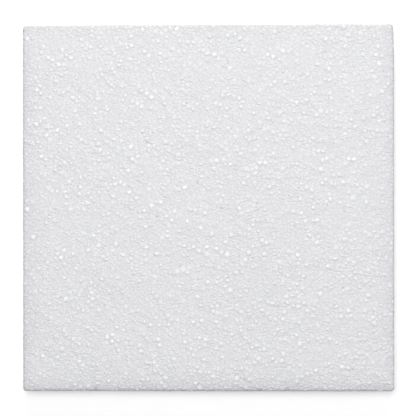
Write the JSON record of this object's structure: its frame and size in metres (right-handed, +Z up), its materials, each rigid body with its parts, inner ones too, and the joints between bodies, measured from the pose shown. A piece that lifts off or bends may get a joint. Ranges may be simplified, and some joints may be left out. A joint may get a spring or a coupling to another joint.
{
  "type": "foam block",
  "caption": "Square slab of white expanded polystyrene bead foam with lightly rolled edges, a beaded surface and small voids.",
  "frame": {"origin": "centre of the footprint, on the flat face that the block rests on", "axes": "+X along the front edge, which is the longer direction; +Y from the front edge to the back edge; +Z up through the thickness"},
  "size_m": [0.3056, 0.3021, 0.0252],
  "materials": {
    "white_bead_foam": "matt white beaded foam, with a faint sheen on the crowns of the beads"
  },
  "bodies": {
    "root": {"foam_block": "white_bead_foam"}
  },
  "joints": []
}
